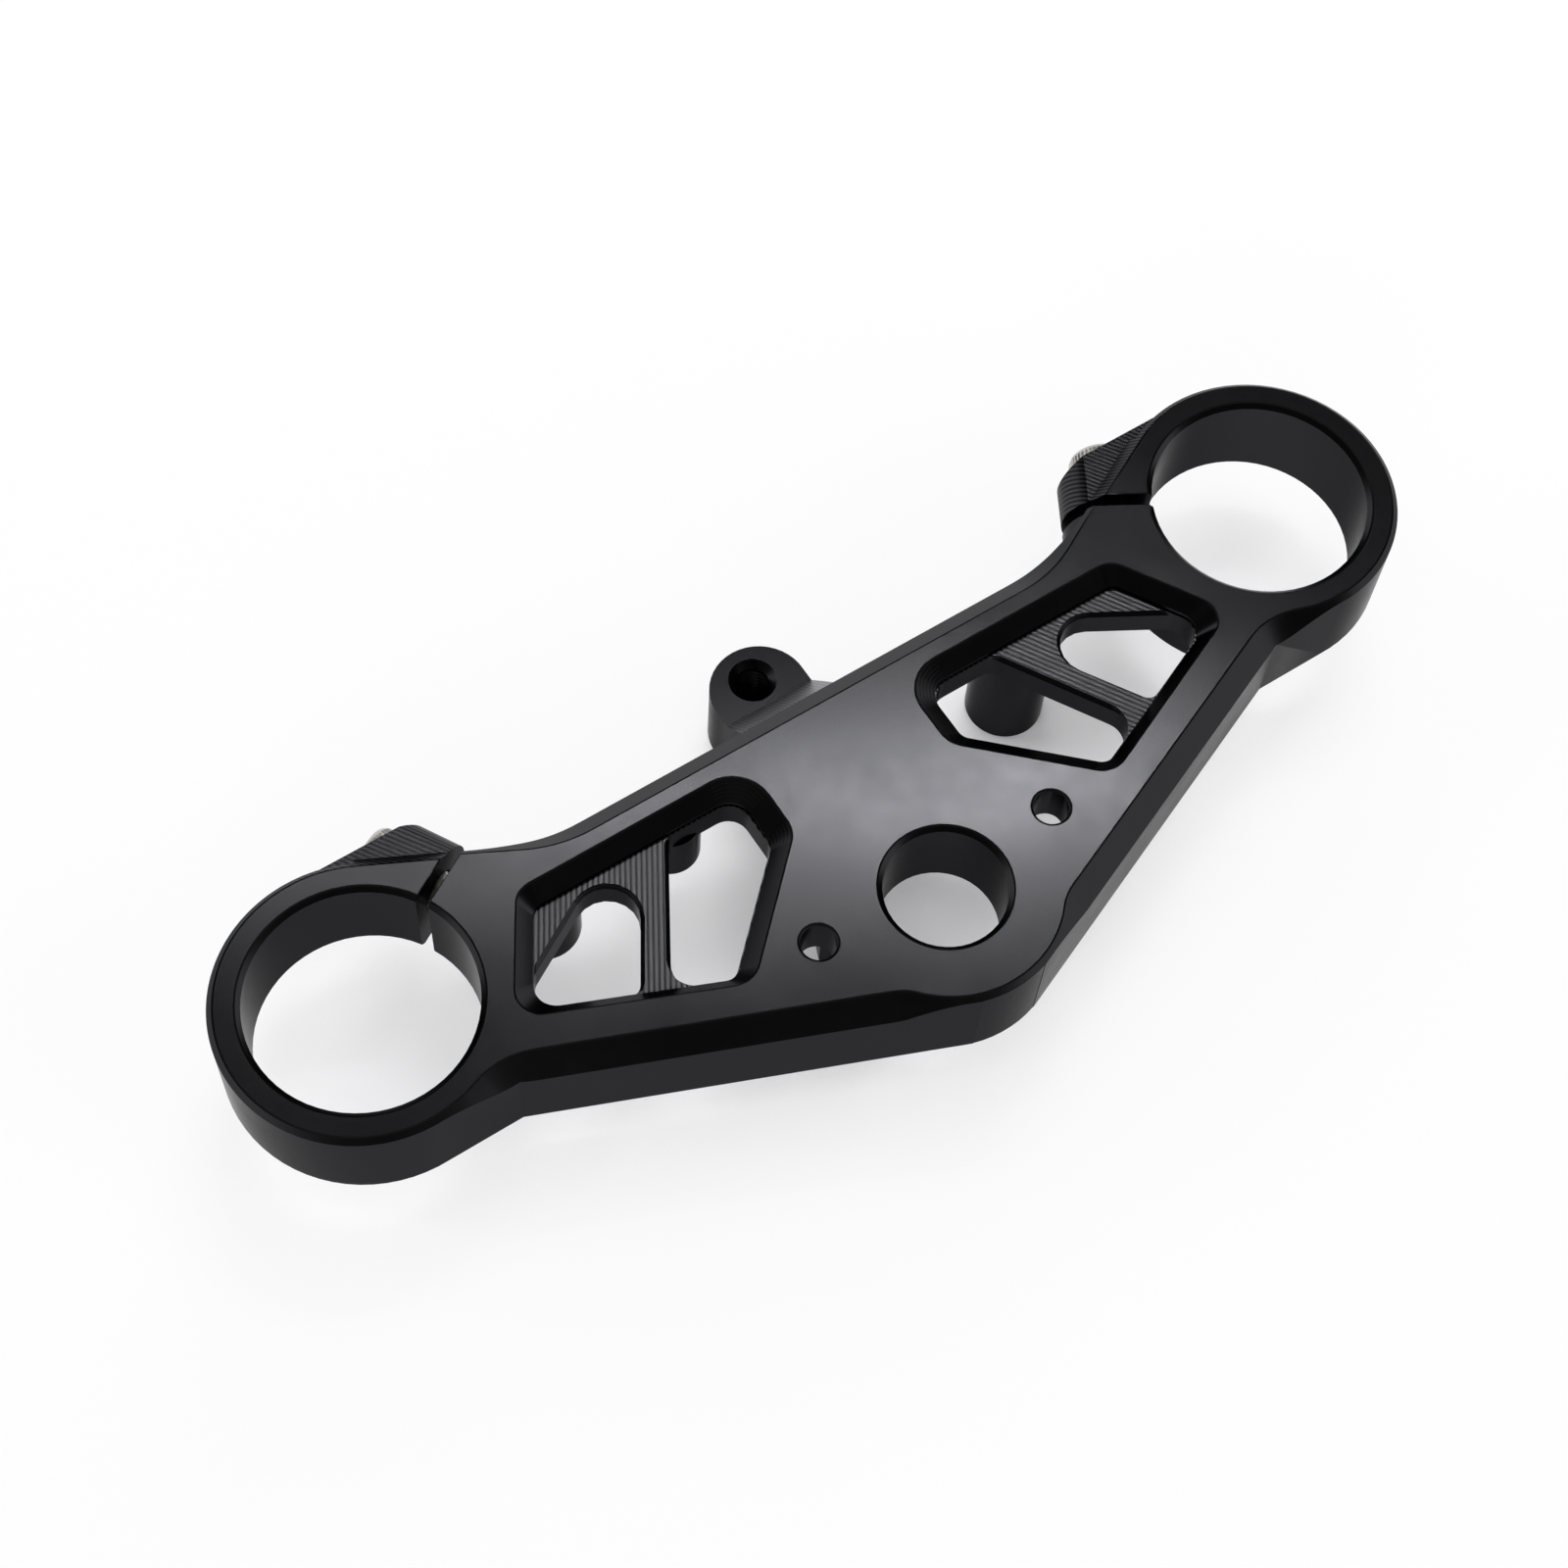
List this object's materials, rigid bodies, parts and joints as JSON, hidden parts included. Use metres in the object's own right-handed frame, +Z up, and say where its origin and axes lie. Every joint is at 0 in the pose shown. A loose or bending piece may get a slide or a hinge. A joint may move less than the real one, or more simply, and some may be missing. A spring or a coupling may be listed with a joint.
{
  "type": "motorcycle triple clamp",
  "caption": "Milled aluminium plate with two split rings that clamp the fork tubes, a bore for the steering stem, weight-saving pockets and a threaded rear lug.",
  "frame": {"origin": "on the axis of the stem bore, at the flat top face of the plate", "axes": "+Z up out of the top face along the stem bore, +X to the right ring, +Y from the stem to the fork tubes and the rear lug"},
  "size_m": [0.2588, 0.0952, 0.0365],
  "materials": {
    "black_anodised": "black anodised over fine milling marks, satin",
    "stainless": "plain stainless steel, knurled head"
  },
  "bodies": {
    "root": {"clamp_body": "black_anodised", "pinch_bolt_left": "stainless", "pinch_bolt_right": "stainless"}
  },
  "joints": []
}
